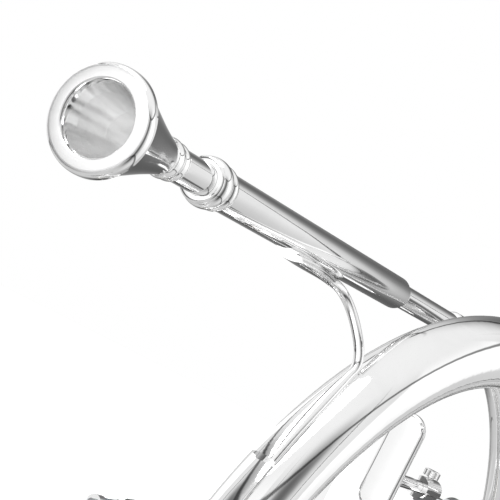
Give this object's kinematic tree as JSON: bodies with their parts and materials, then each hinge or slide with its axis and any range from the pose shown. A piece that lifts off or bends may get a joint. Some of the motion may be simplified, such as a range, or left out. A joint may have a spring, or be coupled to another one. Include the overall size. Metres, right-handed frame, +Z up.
{
  "type": "french horn",
  "caption": "Coiled brass horn with a wide flared bell, rotary valves worked by string-action finger levers, a leadpipe with a funnel mouthpiece, tuning slides and a finger hook.",
  "frame": {"origin": "centre of the main coil's centre-line circle", "axes": "+X out of the coil on the bell side, +Y away from the player, +Z up towards the leadpipe"},
  "size_m": [0.3061, 0.4358, 0.5256],
  "materials": {
    "silver_plate": "polished silver plate over brass",
    "nickel_slide": "drawn nickel silver, lightly burnished",
    "valve_brass": "turned and lapped",
    "screw_steel": "turned steel",
    "spring_steel": "drawn spring wire",
    "cork": "natural cork",
    "string_cord": "braided action cord"
  },
  "bodies": {
    "root": {"bearing_plates": "valve_brass", "bell_bow": "silver_plate", "bell_ferrule": "silver_plate", "bell_flare": "silver_plate", "bell_rim_wire": "silver_plate", "bell_tail": "silver_plate", "body_stays": "silver_plate", "bumper_corks": "cork", "coil_brace": "silver_plate", "coil_ferrules": "silver_plate", "cork_plate_screws": "screw_steel", "cork_plates": "silver_plate", "hinge_posts": "silver_plate", "hinge_rod": "screw_steel", "hook_saddle": "silver_plate", "hook_screw": "silver_plate", "hook_socket": "silver_plate", "leadpipe": "silver_plate", "leadpipe_bow": "silver_plate", "leadpipe_crook": "silver_plate", "leadpipe_ferrule": "silver_plate", "leadpipe_sleeve": "silver_plate", "lever_springs": "spring_steel", "main_slide_legs": "silver_plate", "receiver": "silver_plate", "valve_branch": "silver_plate", "valve_cap_1": "silver_plate", "valve_cap_2": "silver_plate", "valve_cap_3": "silver_plate", "valve_casing_1": "silver_plate", "valve_casing_2": "silver_plate", "valve_casing_3": "silver_plate", "valve_feed": "silver_plate", "valve_knuckles": "silver_plate", "valve_slide_legs_1": "silver_plate", "valve_slide_legs_2": "silver_plate", "valve_slide_legs_3": "silver_plate"},
    "mouthpiece_body": {"mouthpiece": "silver_plate"},
    "main_slide": {"main_tuning_slide": "nickel_slide", "water_key_seat": "silver_plate", "water_key_pin": "screw_steel"},
    "water_key_body": {"water_key": "silver_plate", "water_key_cork": "cork"},
    "hook": {"finger_hook": "silver_plate"},
    "rotor_body_1": {"rotor_1": "valve_brass", "stop_arm_1": "silver_plate"},
    "lever_body_1": {"finger_lever_1": "silver_plate", "action_string_1": "string_cord"},
    "slide_body_1": {"valve_slide_1": "nickel_slide"},
    "rotor_body_2": {"rotor_2": "valve_brass", "stop_arm_2": "silver_plate"},
    "lever_body_2": {"finger_lever_2": "silver_plate", "action_string_2": "string_cord"},
    "slide_body_2": {"valve_slide_2": "nickel_slide"},
    "rotor_body_3": {"rotor_3": "valve_brass", "stop_arm_3": "silver_plate"},
    "lever_body_3": {"finger_lever_3": "silver_plate", "action_string_3": "string_cord"},
    "slide_body_3": {"valve_slide_3": "nickel_slide"}
  },
  "joints": [
    {"name": "mouthpiece_pull", "type": "slide", "parent": "root", "child": "mouthpiece_body", "axis": [0.1234, -0.9924, 0], "range_m": [0, 0.03]},
    {"name": "main_slide_pull", "type": "slide", "parent": "root", "child": "main_slide", "axis": [0, -1, 0], "range_m": [0, 0.05]},
    {"name": "water_key_press", "type": "hinge", "parent": "main_slide", "child": "water_key_body", "pos_m": [-0.058, -0.038, -0.08495], "axis": [1, 0, 0], "range_deg": [0, 12], "stiffness_Nm_per_rad": 0.05, "springref_deg": -17.19},
    {"name": "hook_adjust", "type": "slide", "parent": "root", "child": "hook", "axis": [0, 1, 0], "range_m": [-0.008, 0]},
    {"name": "rotor_turn_1", "type": "hinge", "parent": "root", "child": "rotor_body_1", "pos_m": [-0.038, -0.052, 0.028], "axis": [1, 0, 0], "range_deg": [-90, 0]},
    {"name": "lever_press_1", "type": "hinge", "parent": "root", "child": "lever_body_1", "pos_m": [-0.088, -0.052, 0.028], "axis": [0, 1, 0], "range_deg": [0, 15.4], "stiffness_Nm_per_rad": 0.25, "springref_deg": -22.92},
    {"name": "valve_slide_pull_1", "type": "slide", "parent": "root", "child": "slide_body_1", "axis": [0, 0, -1], "range_m": [0, 0.028]},
    {"name": "rotor_turn_2", "type": "hinge", "parent": "root", "child": "rotor_body_2", "pos_m": [-0.038, 0, 0.028], "axis": [1, 0, 0], "range_deg": [-90, 0]},
    {"name": "lever_press_2", "type": "hinge", "parent": "root", "child": "lever_body_2", "pos_m": [-0.088, 0, 0.028], "axis": [0, 1, 0], "range_deg": [0, 15.4], "stiffness_Nm_per_rad": 0.25, "springref_deg": -22.92},
    {"name": "valve_slide_pull_2", "type": "slide", "parent": "root", "child": "slide_body_2", "axis": [0, 0, -1], "range_m": [0, 0.015]},
    {"name": "rotor_turn_3", "type": "hinge", "parent": "root", "child": "rotor_body_3", "pos_m": [-0.038, 0.052, 0.028], "axis": [1, 0, 0], "range_deg": [-90, 0]},
    {"name": "lever_press_3", "type": "hinge", "parent": "root", "child": "lever_body_3", "pos_m": [-0.088, 0.052, 0.028], "axis": [0, 1, 0], "range_deg": [0, 15.4], "stiffness_Nm_per_rad": 0.25, "springref_deg": -22.92},
    {"name": "valve_slide_pull_3", "type": "slide", "parent": "root", "child": "slide_body_3", "axis": [0, 0, -1], "range_m": [0, 0.04]}
  ],
  "couplings": [
    {"joint": "lever_press_1", "follows": "rotor_turn_1", "ratio": -0.1711},
    {"joint": "lever_press_2", "follows": "rotor_turn_2", "ratio": -0.1711},
    {"joint": "lever_press_3", "follows": "rotor_turn_3", "ratio": -0.1711}
  ]
}
